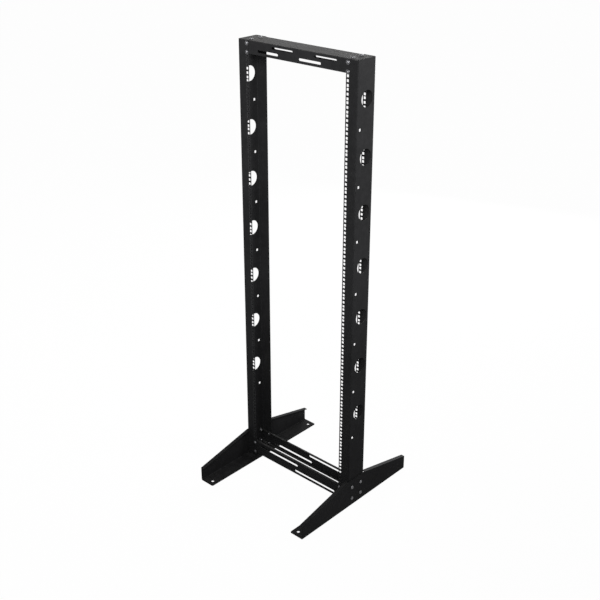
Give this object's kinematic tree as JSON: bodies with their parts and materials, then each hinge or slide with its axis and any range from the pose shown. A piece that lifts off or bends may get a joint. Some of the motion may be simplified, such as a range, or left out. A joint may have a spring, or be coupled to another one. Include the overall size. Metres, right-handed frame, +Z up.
{
  "type": "two-post open frame rack",
  "caption": "Free-standing two-post open frame rack of folded black sheet steel, with square rail holes, round cable holes in the webs, slotted cross bars and sloping feet.",
  "frame": {"origin": "on the floor, midway between the two uprights and midway between the front and back of the feet", "axes": "+X to the right as seen from the front, +Y from front to back, +Z up the uprights"},
  "size_m": [0.556, 0.62, 1.7445],
  "materials": {
    "black_coat": "satin black powder coat",
    "bolts": "dull grey zinc on the bolts, washers and nuts"
  },
  "bodies": {
    "root": {"left_upright": "black_coat", "right_upright": "black_coat", "left_foot": "black_coat", "right_foot": "black_coat", "top_channel": "black_coat", "base_front_bar": "black_coat", "base_rear_bar": "black_coat"}
  },
  "joints": []
}
